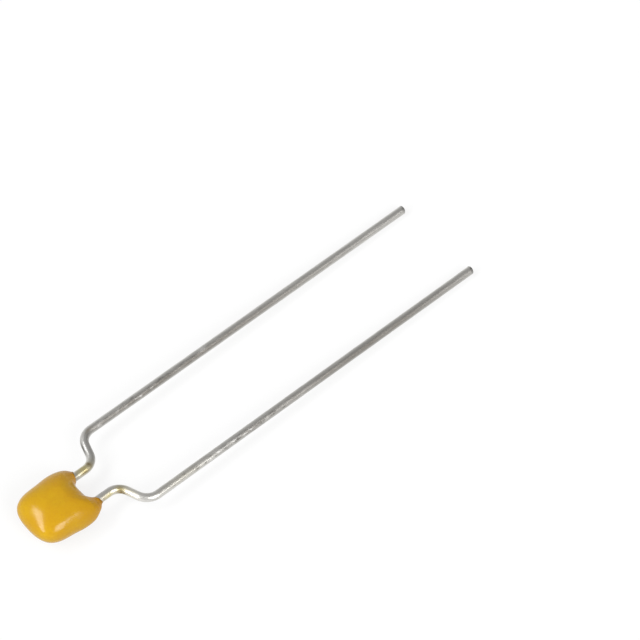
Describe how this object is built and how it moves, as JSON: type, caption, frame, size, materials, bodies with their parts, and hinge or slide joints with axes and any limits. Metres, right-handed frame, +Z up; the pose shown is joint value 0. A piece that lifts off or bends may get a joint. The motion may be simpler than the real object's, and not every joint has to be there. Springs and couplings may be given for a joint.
{
  "type": "multilayer ceramic capacitor",
  "caption": "Small dipped ceramic chip capacitor in a golden epoxy coat, with kinked tinned wire leads for through-hole mounting.",
  "frame": {"origin": "middle of the footprint on the surface that the part lies on: the belly of the coated body and both cut wire ends touch it", "axes": "+X across the two leads, from the left lead to the right; +Y from the coated body towards the cut wire ends; +Z up. The wires run down towards +Y by 1.68 degrees"},
  "size_m": [0.0056, 0.0268, 0.0019],
  "materials": {
    "dipped_epoxy": "satin gloss",
    "dielectric_ceramic": "fired, matte",
    "electrode_metal": "fired film",
    "cap_metal": "fired and plated",
    "solder_alloy": "satin",
    "tinned_wire": "drawn and tinned, dull"
  },
  "bodies": {
    "root": {"epoxy_coating": "dipped_epoxy", "ceramic_body": "dielectric_ceramic", "electrode_left_1": "electrode_metal", "electrode_left_2": "electrode_metal", "electrode_left_3": "electrode_metal", "electrode_left_4": "electrode_metal", "electrode_left_5": "electrode_metal", "electrode_left_6": "electrode_metal", "electrode_left_7": "electrode_metal", "electrode_right_1": "electrode_metal", "electrode_right_2": "electrode_metal", "electrode_right_3": "electrode_metal", "electrode_right_4": "electrode_metal", "electrode_right_5": "electrode_metal", "electrode_right_6": "electrode_metal", "electrode_right_7": "electrode_metal", "end_cap_left": "cap_metal", "end_cap_right": "cap_metal", "solder_left": "solder_alloy", "solder_right": "solder_alloy", "lead_left": "tinned_wire", "lead_right": "tinned_wire"}
  },
  "joints": []
}
